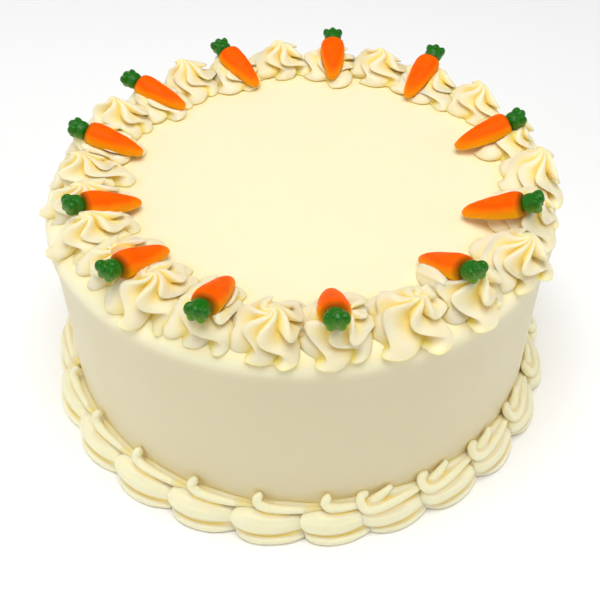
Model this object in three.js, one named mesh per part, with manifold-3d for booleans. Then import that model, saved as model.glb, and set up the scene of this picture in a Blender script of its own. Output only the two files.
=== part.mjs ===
// Round two-layer carrot cake: frosted all over in cream cheese icing, with a ring of piped
// swirls round the top edge, a candy carrot on every second swirl, and a border of piped
// shells round the foot.
//
// Units are millimetres and +Z is up. The origin is the middle of the flat underside, and the
// front of the cake faces -Y. Azimuths are in degrees, counter-clockwise from +X seen from above.

import * as THREE from 'three';
import { mergeVertices } from 'three/addons/utils/BufferGeometryUtils.js';
import Module from 'manifold-3d';

// ---- Driving dimensions ----

const TOUCH_GAP = 0.3; // left between pieces that touch

const CAKE_RADIUS = 105;
const CAKE_HEIGHT = 98.5;
const TOP_EDGE_RADIUS = 8;
const CAKE_FACETS = 56;
const TOP_EDGE_FACETS = 3;

// Twelve candy carrots lie on the swirls, tips inward. Each has the azimuth and the distance
// from the cake's axis of its middle, its turn away from straight outward, and its rise from
// the tip to the leaf.
const CARROT_PLACES = [
  { azimuth: 14, distance: 84, turn: 5, rise: 20 },
  { azimuth: 51, distance: 91, turn: 7, rise: 20 },
  { azimuth: 80, distance: 90, turn: 8, rise: 17 },
  { azimuth: 111, distance: 85, turn: 19, rise: 18 },
  { azimuth: 141, distance: 86, turn: 12, rise: 17 },
  { azimuth: 170, distance: 84, turn: -5, rise: 19 },
  { azimuth: 202, distance: 83, turn: 11, rise: 22 },
  { azimuth: 227, distance: 88, turn: 3, rise: 19 },
  { azimuth: 250, distance: 89, turn: 0, rise: 21 },
  { azimuth: 277, distance: 91, turn: -3, rise: 28 },
  { azimuth: 308, distance: 87, turn: -2, rise: 27 },
  { azimuth: 336, distance: 85, turn: 1, rise: 28 },
];
const CARROT_LENGTH = 25;
const CARROT_WIDTH = 12;
const CARROT_THICKNESS = 10;
const CARROT_FACETS = 8;
const CARROT_TIP_CLEARANCE = 0.9; // under the tip, to the top of the cake
// Half-width of the candy carrot as a share of its widest half-width, from the tip outward.
const CARROT_PROFILE = [
  { along: 0.03, wide: 0.3 },
  { along: 0.13, wide: 0.56 },
  { along: 0.45, wide: 0.84 },
  { along: 0.78, wide: 1.0 },
  { along: 0.95, wide: 0.74 },
];
const LEAF_LENGTH = 9;
const LEAF_WIDTH = 10;
const LEAF_THICKNESS = 7;
const LEAF_LOBES = 5;
const LEAF_NOTCH = 0.82; // distance of the notches from the leaf's middle, to that of the lobes
const LEAF_PROFILE = [
  { up: -0.42, wide: 0.74 },
  { up: 0.02, wide: 1.0 },
  { up: 0.36, wide: 0.72 },
];

// Twenty-four swirls stand shoulder to shoulder round the top, a carrot on every second one.
const SWIRL_COUNT = 24;
const FIRST_SWIRL_AZIMUTH = 14.4;
const SWIRL_CROWDING = 7; // degrees by which they crowd together towards the left of the cake
const SWIRL_OUTER_REACH = 106.8; // from the cake's axis to the outer side of the swirls
const SWIRL_RING_SHIFT = 4; // the ring of swirls sits off centre, towards an azimuth
const SWIRL_SHIFT_AZIMUTH = 300;
const SWIRL_DEPTH = 31; // from the inner to the outer side of a swirl
const SWIRL_DEPTH_CHANGE = 4.4; // how much shallower and deeper the ring gets on its way round
const SWIRL_DEEPEST_AZIMUTH = 215;
const SWIRL_SPREAD = 1.28; // a swirl is this much wider than its room, so neighbours press flat
const SWIRL_HEIGHT = 15;
const SWIRL_LEAN = 2.5; // of the peak, outward
const SWIRL_DRIFT = 1.5; // of the peak, to either side
const CARROT_SWIRL_LEAN = 6.5; // a carrot pushes the peak over
const PEAK_NEAR_CARROT = 8.5; // a peak within this of a carrot's axis is pressed down by it
const PEAK_UNDER_AXIS = 2; // and ends this far below the axis

// A swirl is squeezed out of a star nozzle, so it is a stack of star-shaped rings: a wide foot
// of lobes, a waist, and ridges drawn up to a peak. The rings turn one way and then back.
const SWIRL_RIDGES = 6;
const SWIRL_PROFILE = [
  { up: 0.0, wide: 0.84, groove: 0.12, turn: -34 },
  { up: 0.15, wide: 1.0, groove: 0.22, turn: -42 },
  { up: 0.34, wide: 0.92, groove: 0.28, turn: -56 },
  { up: 0.46, wide: 0.72, groove: 0.3, turn: -60 },
  { up: 0.6, wide: 0.64, groove: 0.38, turn: -52 },
  { up: 0.78, wide: 0.42, groove: 0.4, turn: -30 },
  { up: 0.93, wide: 0.16, groove: 0.3, turn: -8 },
];

// The foot border is piped in one continuous run, shell after shell, each fat head covering
// the tail before it. Its section is three ridges: a frill on the ground, a fat main ridge and
// a slim upper ridge against the cake. Places are outward from the cake's side and up.
const SHELL_COUNT = 24;
const FIRST_SHELL_AZIMUTH = 194;
const SHELL_BUNCHING = 2.4; // degrees by which the shells crowd together along the front
const SHELL_SWAY = 0.9;
const SHELL_STATIONS = [0, 0.09, 0.34, 0.7];
const SHELL_HEAD = 0.22; // share of a shell's run in which its head swells to full size
const SHELL_RIDGES = [
  { outward: 9.4, up: 2.4, size: 3.2, tail: 0.72, delay: 0.04 },
  { outward: 7.3, up: 7.4, size: 4.9, tail: 0.72, delay: 0 },
  { outward: 2.9, up: 15.4, size: 3.8, tail: 0.8, delay: 0.3 },
];
const SHELL_SECTION_RAYS = [0, 10, 22, 36, 48, 60, 74, 90];

// Piping by hand: how much each of these differs from piece to piece, as a share of its size.
const HEIGHT_UNEVENNESS = 0.08;
const LEAN_UNEVENNESS = 0.5;
const LOBE_UNEVENNESS = 0.06;
const SHELL_UNEVENNESS = 0.05;

// ---- Materials ----

function icing(colour) {
  return new THREE.MeshStandardMaterial({ color: colour, roughness: 0.5, metalness: 0 });
}

function candy(colour) {
  return new THREE.MeshStandardMaterial({ color: colour, roughness: 0.3, metalness: 0 });
}

const SMOOTH_ICING = 0xf7ecc8;
const PIPED_ICING = 0xf8efcf;
const CARROT_ORANGE = 0xff6a00;
const LEAF_GREEN = 0x1c6b1c;

// ---- Helpers ----

function radians(degrees) {
  return THREE.MathUtils.degToRad(degrees);
}

// A repeatable number between -1 and 1, so that no two piped pieces come out alike: a sine of
// the piece's index and the trait's letters, so large that its fraction looks random.
function uneven(index, trait) {
  const letters = [...trait].reduce((sum, letter) => sum * 2 + letter.charCodeAt(0), 0);
  const wave = Math.sin(index * 12.9898 + letters * 78.233) * 43758.5453;
  return 2 * (wave - Math.floor(wave)) - 1;
}

function numbered(name, index) {
  return `${name}_${String(index + 1).padStart(2, '0')}`;
}

function geometryFrom(points, faces) {
  const geometry = new THREE.BufferGeometry();
  geometry.setFromPoints(points);
  geometry.setIndex(faces);
  return geometry;
}

// A closed skin over a stack of rings, each counter-clockwise seen from the last one's side,
// with a point at either end.
function loft(first, rings, last) {
  const around = rings[0].length;
  const points = [first, ...rings.flat(), last];
  const lastPoint = points.length - 1;
  const corner = (ring, i) => 1 + ring * around + (i % around);
  const faces = [];
  for (let i = 0; i < around; i += 1) {
    faces.push(0, corner(0, i + 1), corner(0, i));
    faces.push(lastPoint, corner(rings.length - 1, i), corner(rings.length - 1, i + 1));
    for (let ring = 0; ring + 1 < rings.length; ring += 1) {
      faces.push(corner(ring, i), corner(ring, i + 1), corner(ring + 1, i + 1));
      faces.push(corner(ring, i), corner(ring + 1, i + 1), corner(ring + 1, i));
    }
  }
  return geometryFrom(points, faces);
}

// A closed skin over sections set one after the other round the cake and back to the first.
function wreath(sections) {
  const around = sections[0].length;
  const corner = (section, i) => (section % sections.length) * around + (i % around);
  const faces = [];
  for (let section = 0; section < sections.length; section += 1) {
    for (let i = 0; i < around; i += 1) {
      faces.push(corner(section, i), corner(section + 1, i), corner(section + 1, i + 1));
      faces.push(corner(section, i), corner(section + 1, i + 1), corner(section, i + 1));
    }
  }
  return geometryFrom(sections.flat(), faces);
}

const wasm = await Module();
wasm.setup();

function toManifold(geometry) {
  const bare = geometry.clone();
  bare.deleteAttribute('normal');
  bare.deleteAttribute('uv');
  const merged = mergeVertices(bare, 1e-5);
  const vertProperties = new Float32Array(merged.attributes.position.array);
  const triVerts = new Uint32Array(merged.index.array);
  return new wasm.Manifold(new wasm.Mesh({ numProp: 3, vertProperties, triVerts }));
}

function toGeometry(manifold) {
  const mesh = manifold.getMesh();
  const geometry = new THREE.BufferGeometry();
  geometry.setAttribute('position', new THREE.BufferAttribute(mesh.vertProperties, 3));
  geometry.setIndex(new THREE.BufferAttribute(mesh.triVerts, 1));
  return geometry;
}

// ---- Cake body: both layers and the smooth icing round them, one uncut solid ----

function makeCakeBody() {
  const edgeX = CAKE_RADIUS - TOP_EDGE_RADIUS;
  const edgeY = CAKE_HEIGHT - TOP_EDGE_RADIUS;
  const profile = [new THREE.Vector2(0, 0), new THREE.Vector2(CAKE_RADIUS, 0)];
  for (let step = 0; step <= TOP_EDGE_FACETS; step += 1) {
    const angle = (step / TOP_EDGE_FACETS) * (Math.PI / 2);
    const x = edgeX + TOP_EDGE_RADIUS * Math.cos(angle);
    const y = edgeY + TOP_EDGE_RADIUS * Math.sin(angle);
    profile.push(new THREE.Vector2(x, y));
  }
  profile.push(new THREE.Vector2(0, CAKE_HEIGHT));
  const geometry = new THREE.LatheGeometry(profile, CAKE_FACETS);
  geometry.rotateX(Math.PI / 2);
  const body = new THREE.Mesh(geometry, icing(SMOOTH_ICING));
  body.name = 'cake_body';
  return body;
}

// ---- Candy carrots: along +X from the tip to the leaf, with their middle at the origin ----

const CANDY_LENGTH = CARROT_LENGTH + TOUCH_GAP + LEAF_LENGTH * (1 + LEAF_NOTCH) / 2;

// `grow` thickens the candy on every side, for the hollow that it presses into the icing.
function carrotGeometry(grow = 0) {
  const start = -CANDY_LENGTH / 2 - grow;
  const length = CARROT_LENGTH + 2 * grow;
  const rings = CARROT_PROFILE.map(({ along, wide }) => {
    const ring = [];
    for (let i = 0; i < CARROT_FACETS; i += 1) {
      const angle = (i / CARROT_FACETS) * 2 * Math.PI;
      const y = (CARROT_WIDTH / 2 * wide + grow) * Math.cos(angle);
      const z = (CARROT_THICKNESS / 2 * wide + grow) * Math.sin(angle);
      ring.push(new THREE.Vector3(start + along * length, y, z));
    }
    return ring;
  });
  const tip = new THREE.Vector3(start, 0, 0);
  const shoulder = new THREE.Vector3(start + length, 0, 0);
  return loft(tip, rings, shoulder);
}

function leafGeometry(grow = 0) {
  const middle = CANDY_LENGTH / 2 - LEAF_LENGTH / 2;
  const rings = LEAF_PROFILE.map(({ up, wide }) => {
    const ring = [];
    for (let i = 0; i < 2 * LEAF_LOBES; i += 1) {
      const angle = (i / LEAF_LOBES) * Math.PI;
      const reach = wide * (i % 2 === 0 ? 1 : LEAF_NOTCH);
      const x = middle + (LEAF_LENGTH / 2 * reach + grow) * Math.cos(angle);
      const y = (LEAF_WIDTH / 2 * reach + grow) * Math.sin(angle);
      ring.push(new THREE.Vector3(x, y, up * (LEAF_THICKNESS + 2 * grow)));
    }
    return ring;
  });
  const bottom = new THREE.Vector3(middle, 0, -LEAF_THICKNESS / 2 - grow);
  const top = new THREE.Vector3(middle, 0, LEAF_THICKNESS / 2 + grow);
  return loft(bottom, rings, top);
}

// Height of the candy's middle: its tip rests just clear of the cake, its leaf end is raised.
function carrotMiddleHeight(place) {
  const tipRadius = CARROT_THICKNESS / 2 * CARROT_PROFILE[1].wide;
  const tipToMiddle = CANDY_LENGTH / 2 - CARROT_PROFILE[1].along * CARROT_LENGTH;
  const rise = radians(place.rise);
  const axisHeight = CARROT_TIP_CLEARANCE + tipRadius * Math.cos(rise);
  return CAKE_HEIGHT + axisHeight + tipToMiddle * Math.sin(rise);
}

function carrotGroup(place) {
  const group = new THREE.Group();
  const azimuth = radians(place.azimuth);
  const x = place.distance * Math.cos(azimuth);
  const y = place.distance * Math.sin(azimuth);
  group.position.set(x, y, carrotMiddleHeight(place));
  group.rotation.set(0, -radians(place.rise), azimuth + radians(place.turn), 'ZYX');
  group.updateMatrixWorld();
  return group;
}

function makeCarrot(place, index) {
  const group = carrotGroup(place);
  const carrot = new THREE.Mesh(carrotGeometry(), candy(CARROT_ORANGE));
  carrot.name = numbered('carrot', index);
  const leaf = new THREE.Mesh(leafGeometry(), candy(LEAF_GREEN));
  leaf.name = numbered('carrot_leaf', index);
  group.add(carrot, leaf);
  return group;
}

// ---- Piped swirls ----

// Where a swirl stands, how deep it is from inside to outside, and where its peak leans to.
function swirlSpot(index) {
  const even = (index / SWIRL_COUNT) * 360;
  const azimuth = FIRST_SWIRL_AZIMUTH + even + SWIRL_CROWDING * Math.sin(radians(even));
  const change = SWIRL_DEPTH_CHANGE * Math.cos(radians(azimuth - SWIRL_DEEPEST_AZIMUTH));
  const halfDepth = (SWIRL_DEPTH + change) / 2;
  const shift = SWIRL_RING_SHIFT * Math.cos(radians(azimuth - SWIRL_SHIFT_AZIMUTH));
  const distance = SWIRL_OUTER_REACH + shift - halfDepth;
  const outward = new THREE.Vector2(Math.cos(radians(azimuth)), Math.sin(radians(azimuth)));
  const sideways = new THREE.Vector2(-outward.y, outward.x);
  const middle = outward.clone().multiplyScalar(distance);
  const ownLean = SWIRL_LEAN * (1 + LEAN_UNEVENNESS * uneven(index, 'lean'));
  const peak = outward.clone().multiplyScalar(index % 2 === 0 ? CARROT_SWIRL_LEAN : ownLean)
    .addScaledVector(sideways, SWIRL_DRIFT * uneven(index, 'drift'));
  return { halfDepth, outward, sideways, middle, peak };
}

// A neighbour presses a swirl flat along the line midway between them.
function pressedSide(spot, neighbour) {
  const direction = neighbour.middle.clone().sub(spot.middle);
  const reach = direction.length() / 2 - TOUCH_GAP / 2;
  return { direction: direction.normalize(), reach };
}

function pressed(point, middle, sides) {
  const offset = point.clone().sub(middle);
  let scale = 1;
  for (const { direction, reach } of sides) {
    const room = reach - direction.dot(middle);
    const push = direction.dot(offset);
    if (push > room) scale = Math.min(scale, room / push);
  }
  return offset.multiplyScalar(scale).add(middle);
}

// A peak near a carrot stops at the candy's axis, where the candy has flattened it.
function swirlHeight(spot, index) {
  let height = SWIRL_HEIGHT * (1 + HEIGHT_UNEVENNESS * uneven(index, 'height'));
  for (const place of CARROT_PLACES) {
    const candyFrame = carrotGroup(place);
    const x = spot.middle.x + spot.peak.x;
    const y = spot.middle.y + spot.peak.y;
    const peak = candyFrame.worldToLocal(new THREE.Vector3(x, y, candyFrame.position.z));
    if (Math.abs(peak.y) < PEAK_NEAR_CARROT && Math.abs(peak.x) < CANDY_LENGTH / 2) {
      const axis = candyFrame.localToWorld(new THREE.Vector3(peak.x, 0, 0));
      height = Math.min(height, axis.z - CAKE_HEIGHT - PEAK_UNDER_AXIS);
    }
  }
  return height;
}

function swirlGeometry(spot, index, sides) {
  const height = swirlHeight(spot, index);
  const halfWidth = SWIRL_SPREAD * (sides[0].reach + sides[1].reach) / 2;
  const start = Math.PI * uneven(index, 'start');
  const rings = SWIRL_PROFILE.map(({ up, wide, groove, turn }) => {
    const middle = spot.peak.clone().multiplyScalar(up * up);
    const ring = [];
    for (let i = 0; i < 2 * SWIRL_RIDGES; i += 1) {
      const lobe = 1 + LOBE_UNEVENNESS * uneven(index * 2 * SWIRL_RIDGES + i, 'lobe');
      const share = wide * (i % 2 === 0 ? lobe : 1 - groove);
      const angle = start + radians(turn) + (i / SWIRL_RIDGES) * Math.PI;
      const point = middle.clone()
        .addScaledVector(spot.outward, spot.halfDepth * share * Math.cos(angle))
        .addScaledVector(spot.sideways, halfWidth * share * Math.sin(angle));
      const { x, y } = pressed(point, middle, sides);
      ring.push(new THREE.Vector3(x, y, up * height));
    }
    return ring;
  });
  return loft(new THREE.Vector3(), rings, new THREE.Vector3(spot.peak.x, spot.peak.y, height));
}

// The hollow that the candies press into a swirl, in the swirl's own frame.
function pressCandies(geometry, position) {
  let swirl = toManifold(geometry);
  for (const place of CARROT_PLACES) {
    const group = carrotGroup(place);
    for (const candyShape of [carrotGeometry(TOUCH_GAP), leafGeometry(TOUCH_GAP)]) {
      candyShape.applyMatrix4(group.matrixWorld);
      candyShape.translate(-position.x, -position.y, -position.z);
      swirl = swirl.subtract(toManifold(candyShape));
    }
  }
  return toGeometry(swirl);
}

function makeSwirl(index) {
  const spot = swirlSpot(index);
  const sides = [index - 1, index + 1].map((next) => pressedSide(spot, swirlSpot(next)));
  const position = new THREE.Vector3(spot.middle.x, spot.middle.y, CAKE_HEIGHT + TOUCH_GAP);
  const piped = swirlGeometry(spot, index, sides);
  const swirl = new THREE.Mesh(pressCandies(piped, position), icing(PIPED_ICING));
  swirl.name = numbered('swirl', index);
  swirl.position.copy(position);
  return swirl;
}

// ---- Foot border of piped shells ----

// Azimuth of a shell's head: even steps, pulled together a little along the front.
function shellAzimuth(shell) {
  const round = shell / SHELL_COUNT;
  const bunching = SHELL_BUNCHING * (1 - Math.cos(2 * Math.PI * round)) / 2;
  const sway = SHELL_SWAY * Math.sin(4 * Math.PI * round);
  return FIRST_SHELL_AZIMUTH + 360 * round - bunching + sway;
}

// Size of a ridge along its shell: the head swells out of the last tail and then tapers.
function shellSwell(run, tail) {
  if (run < SHELL_HEAD) {
    const rest = 1 - run / SHELL_HEAD;
    return tail + (1 - tail) * Math.sqrt(1 - rest * rest);
  }
  const taper = (run - SHELL_HEAD) / (1 - SHELL_HEAD);
  return 1 - (1 - tail) * taper * taper;
}

// How far a ray from the foot of the cake's side goes before it leaves the ridges.
function sectionReach(angle, shell, run) {
  let reach = 0;
  SHELL_RIDGES.forEach((ridge, i) => {
    const local = run - ridge.delay;
    const owner = (local < 0 ? shell - 1 + SHELL_COUNT : shell) % SHELL_COUNT;
    const size = 1 + SHELL_UNEVENNESS * uneven(owner * SHELL_RIDGES.length + i, 'shell');
    const swell = shellSwell((local + 1) % 1, ridge.tail) * size;
    const distance = Math.hypot(ridge.outward, ridge.up) * swell;
    const off = angle - Math.atan2(ridge.up, ridge.outward);
    const across = distance * Math.sin(off);
    const radius = ridge.size * swell;
    if (Math.abs(across) < radius && Math.cos(off) > 0) {
      reach = Math.max(reach, distance * Math.cos(off) + Math.sqrt(radius ** 2 - across ** 2));
    }
  });
  return reach;
}

function shellSection(shell, run) {
  const from = shellAzimuth(shell);
  const azimuth = radians(from + run * (shellAzimuth(shell + 1) - from));
  const atSide = CAKE_RADIUS + TOUCH_GAP;
  const place = (outward, up) => new THREE.Vector3(
    (atSide + outward) * Math.cos(azimuth),
    (atSide + outward) * Math.sin(azimuth),
    up,
  );
  const section = [place(0, 0)];
  for (const ray of SHELL_SECTION_RAYS) {
    const angle = radians(ray);
    const reach = sectionReach(angle, shell, run);
    section.push(place(reach * Math.cos(angle), reach * Math.sin(angle)));
  }
  return section;
}

function makeShellBorder() {
  const sections = [];
  for (let shell = 0; shell < SHELL_COUNT; shell += 1) {
    for (const run of SHELL_STATIONS) {
      sections.push(shellSection(shell, run));
    }
  }
  const border = new THREE.Mesh(wreath(sections), icing(PIPED_ICING));
  border.name = 'shell_border';
  return border;
}

// ---- The whole cake ----

const cake = new THREE.Group();
cake.add(makeCakeBody());
cake.add(makeShellBorder());
for (let index = 0; index < SWIRL_COUNT; index += 1) {
  cake.add(makeSwirl(index));
}
cake.add(...CARROT_PLACES.map(makeCarrot));

export default cake;
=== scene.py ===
# %% [markdown]
# # A carrot cake with candy carrots
#
# This lesson builds the looks of an iced carrot cake: a round cake under smooth cream cheese
# icing, a ring of piped swirls on its top edge, a candy carrot on every other swirl, and a
# shell border piped round its foot. A plain measured model of the cake is loaded first. It
# stays in place as the frame, and every fine piece takes its place and size from it.

# %% Load the measured model
from math import atan2, cos, degrees, pi, radians, sin, tau

import bmesh
import bpy
import numpy as np
from mathutils import Matrix, Vector, kdtree, noise


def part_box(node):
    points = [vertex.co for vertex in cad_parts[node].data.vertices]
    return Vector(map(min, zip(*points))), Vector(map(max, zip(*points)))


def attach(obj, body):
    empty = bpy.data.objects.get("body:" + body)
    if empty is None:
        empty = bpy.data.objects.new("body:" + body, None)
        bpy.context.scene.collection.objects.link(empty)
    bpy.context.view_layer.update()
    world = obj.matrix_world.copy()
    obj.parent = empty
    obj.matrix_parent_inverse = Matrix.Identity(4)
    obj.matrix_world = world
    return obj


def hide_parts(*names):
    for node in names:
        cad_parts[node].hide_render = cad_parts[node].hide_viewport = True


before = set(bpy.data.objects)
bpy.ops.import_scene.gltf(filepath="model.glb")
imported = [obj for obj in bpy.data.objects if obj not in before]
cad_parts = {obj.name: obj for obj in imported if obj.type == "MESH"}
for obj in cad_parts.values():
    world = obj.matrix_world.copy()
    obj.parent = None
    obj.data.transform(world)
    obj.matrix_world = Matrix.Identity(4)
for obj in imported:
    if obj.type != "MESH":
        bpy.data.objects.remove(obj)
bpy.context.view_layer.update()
print("measured model:", len(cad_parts), "parts")

# %% [markdown]
# ## The camera
#
# The camera is made first, because every choice of detail depends on what it sees. It looks
# down on the cake at a little over 40 degrees from close by, so the near side looks larger.

# %% The camera
MM = 0.001
CAMERA_LENS = 55.04
CAMERA_ELEVATION = radians(43.41)
CAMERA_DISTANCE = 433.8 * MM
CAMERA_TARGET = Vector((-0.2 * MM, 0, 26.2 * MM))

bpy.ops.object.camera_add()
camera = bpy.context.object
camera.name = "camera"
camera.data.lens = CAMERA_LENS
camera.data.clip_start = 10 * MM
towards_camera = Vector((0, -cos(CAMERA_ELEVATION), sin(CAMERA_ELEVATION)))
camera.location = CAMERA_TARGET + CAMERA_DISTANCE * towards_camera
camera.rotation_euler = (pi / 2 - CAMERA_ELEVATION, 0, 0)
bpy.context.scene.camera = camera
print("camera stands at", [round(x, 3) for x in camera.location])

# %% [markdown]
# ## Sizes from the frame
#
# The cake's radius and height are read from the measured model, so they follow it if it
# changes. Only the soft top edge is a little rounder than the model's, which has few facets.

# %% Sizes of the cake
cake_low, cake_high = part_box("cake_body")
CAKE_RADIUS = (cake_high.x - cake_low.x) / 2
CAKE_HEIGHT = cake_high.z
TOP_EDGE_RADIUS = 9.5 * MM
swirl_names = sorted(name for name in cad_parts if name.startswith("swirl_"))
carrot_names = sorted(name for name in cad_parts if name[:-2] == "carrot_")
leaf_names = sorted(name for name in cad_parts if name.startswith("carrot_leaf_"))
print(f"cake: radius {CAKE_RADIUS / MM:.1f} mm, height {CAKE_HEIGHT / MM:.1f} mm")
print(len(swirl_names), "swirls,", len(carrot_names), "carrots,", len(leaf_names), "leaves")

# %% [markdown]
# ## Small helpers
#
# Every operator works on what is selected, so each piece starts with nothing selected. A
# finished piece gets its modifiers applied and its place moved into its mesh.
#
# Cream cheese icing lets light through, so it looks yellower in a crease and where two pieces
# touch; here that yellow is painted shade in the colour, and a thin crest gets a painted
# highlight. Two helpers find such places: one compares each point of a skin with the average
# of the points around it, and the other measures how near the neighbouring pieces are. `paint`
# keeps the result on the mesh, and the icing's finish reads it there.

# %% Helpers for every piece
SEED = 7
draw = np.random.default_rng(SEED)


def alone(piece):
    """Selects one piece and nothing else."""
    bpy.ops.object.select_all(action="DESELECT")
    piece.select_set(True)
    bpy.context.view_layer.objects.active = piece


def modified(piece, kind, **settings):
    """Adds a modifier, sets it and applies it."""
    alone(piece)
    modifier = piece.modifiers.new(kind.title(), kind)
    for setting, value in settings.items():
        setattr(modifier, setting, value)
    bpy.ops.object.modifier_apply(modifier=modifier.name)


def points_of(piece):
    """The places of a mesh's vertices, one row each."""
    places = np.empty(len(piece.data.vertices) * 3)
    piece.data.vertices.foreach_get("co", places)
    return places.reshape(-1, 3)


def reshape(piece, places):
    """Moves a mesh's vertices, as a sculpting brush does."""
    piece.data.vertices.foreach_set("co", places.ravel())
    piece.data.update()


def paint(piece, name, values):
    """Keeps one number for each vertex, which a material can read."""
    layer = piece.data.attributes.get(name) or piece.data.attributes.new(name, "FLOAT", "POINT")
    layer.data.foreach_set("value", np.asarray(values, np.float32))


def smoothstep(low, high, x):
    """0 below low, 1 above high, and an even slope between them."""
    share = np.clip((x - low) / (high - low), 0, 1)
    return share * share * (3 - 2 * share)


def soft_noise(places, scale, shift=0.0):
    """A smooth random number between about -1 and 1 at each place."""
    return np.array([noise.noise(Vector(place) * scale + Vector((shift, 0, 0))) for place in places])


def hollows(piece, reach):
    """How far each vertex lies below the average of the skin within about reach edges of it."""
    places = points_of(piece)
    ends = np.empty(len(piece.data.edges) * 2, np.int32)
    piece.data.edges.foreach_get("vertices", ends)
    one, other = ends.reshape(-1, 2).T
    count = np.bincount(one, minlength=len(places)) + np.bincount(other, minlength=len(places))
    smooth = places.copy()
    for _ in range(reach):
        total = np.zeros_like(smooth)
        for axis in range(3):
            total[:, axis] += np.bincount(one, smooth[other, axis], len(places))
            total[:, axis] += np.bincount(other, smooth[one, axis], len(places))
        smooth = total / count[:, None]
    normals = np.empty(len(places) * 3)
    piece.data.vertices.foreach_get("normal", normals)
    return ((smooth - places) * normals.reshape(-1, 3)).sum(1)


def closeness(piece, others, reach):
    """1 where a piece touches the others, falling to 0 at the reach."""
    tree = kdtree.KDTree(sum(len(other.data.vertices) for other in others))
    for number, place in enumerate(np.concatenate([points_of(other) for other in others])):
        tree.insert(place, number)
    tree.balance()
    gaps = np.array([tree.find(place)[2] for place in points_of(piece)])
    return 1 - smoothstep(0, reach, gaps)


JUST_INSIDE = 0.999  # stops short of the rim, where the rounded edge drops straight down


def edge_drop(distance):
    """How far the rounded top edge has dropped at this distance from the cake's axis."""
    over = np.clip(distance - (CAKE_RADIUS - TOP_EDGE_RADIUS), 0, TOP_EDGE_RADIUS * JUST_INSIDE)
    return TOP_EDGE_RADIUS - np.sqrt(TOP_EDGE_RADIUS**2 - over**2)


def finished(piece, slot, *stands_for):
    """Hands a finished piece over to the frame."""
    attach(piece, "root")
    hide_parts(*stands_for)
    return piece


# %% [markdown]
# ## The smooth cake
#
# The cake is a cylinder. Its top rim is bevelled to the soft edge that a spatula leaves, its
# wall is cut into rings and its top is inset into rings, so that there are enough points to
# give the surface the shallow waves of hand-spread icing.

# %% The cake's blank
WALL_COLUMNS = 240
WALL_RINGS = 30
TOP_RINGS = 24
EDGE_SEGMENTS = 10
TOP_RING_WIDTH = (CAKE_RADIUS - TOP_EDGE_RADIUS) / (TOP_RINGS + 0.5)

bpy.ops.object.select_all(action="DESELECT")
bpy.ops.mesh.primitive_cylinder_add(
    vertices=WALL_COLUMNS, radius=CAKE_RADIUS, depth=CAKE_HEIGHT, location=(0, 0, CAKE_HEIGHT / 2)
)
cake = bpy.context.object
cake.name = "smooth_cake"
bpy.ops.object.transform_apply()
bpy.ops.object.mode_set(mode="EDIT")
bpy.ops.mesh.select_all(action="DESELECT")
bpy.ops.mesh.select_mode(type="EDGE")
shape = bmesh.from_edit_mesh(cake.data)
for edge in shape.edges:
    edge.select_set(all(v.co.z > CAKE_HEIGHT / 2 for v in edge.verts))
bmesh.update_edit_mesh(cake.data)
bpy.ops.mesh.bevel(offset=TOP_EDGE_RADIUS, segments=EDGE_SEGMENTS, affect="EDGES", clamp_overlap=False)

bpy.ops.mesh.select_all(action="DESELECT")
shape = bmesh.from_edit_mesh(cake.data)
for edge in shape.edges:
    ends = [v.co.z for v in edge.verts]
    edge.select_set(min(ends) < MM and max(ends) > CAKE_HEIGHT / 2)
bmesh.update_edit_mesh(cake.data)
bpy.ops.mesh.subdivide(number_cuts=WALL_RINGS)

bpy.ops.mesh.select_mode(type="FACE")
bpy.ops.mesh.select_all(action="DESELECT")
shape = bmesh.from_edit_mesh(cake.data)
for face in shape.faces:
    face.select_set(len(face.verts) > 4 and face.calc_center_median().z > CAKE_HEIGHT / 2)
bmesh.update_edit_mesh(cake.data)
for ring in range(TOP_RINGS):
    bpy.ops.mesh.inset(thickness=TOP_RING_WIDTH)
bpy.ops.mesh.poke()
bpy.ops.mesh.select_mode(type="VERT")
bpy.ops.object.mode_set(mode="OBJECT")
print("cake blank:", len(cake.data.polygons), "faces")

# %% [markdown]
# ## Hand-spread icing
#
# A spatula held against a turning cake leaves long, shallow waves, and it pushes a little icing
# up to the top edge, where it stays as a lip. Both could be sculpted, but smooth noise moves
# every point a little and is quick. How high each point lies is kept as well, for the painted
# light from above that makes the icing paler near the top and for a painted highlight on its
# rounded edge.

# %% The waves of hand-spread icing
WALL_WAVE = 0.35 * MM
WALL_WAVE_SCALE = 28
WALL_RIPPLE = 0.4  # of the waves
WALL_RIPPLE_SCALE = 90
TOP_WAVE = 0.3 * MM
TOP_WAVE_SCALE = 25
TOP_RIPPLE = 0.35
TOP_RIPPLE_SCALE = 95
WALL_START = CAKE_RADIUS * 0.9
LIP = 1.4 * MM
LIP_DROP = 9.5 * MM
LIP_LENGTH = 11 * MM
# how far below the top the painted light from above starts to make the icing paler, and where it is full
PAINTED_LIGHT_START = 11 * MM
PAINTED_LIGHT_FULL = 4.5 * MM
# the painted highlight on the rounded edge lies just under the swirls, and ends below the top
BAND_FULL = 5 * MM
BAND_FADES = 3.5 * MM
BAND_END = 1 * MM

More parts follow.
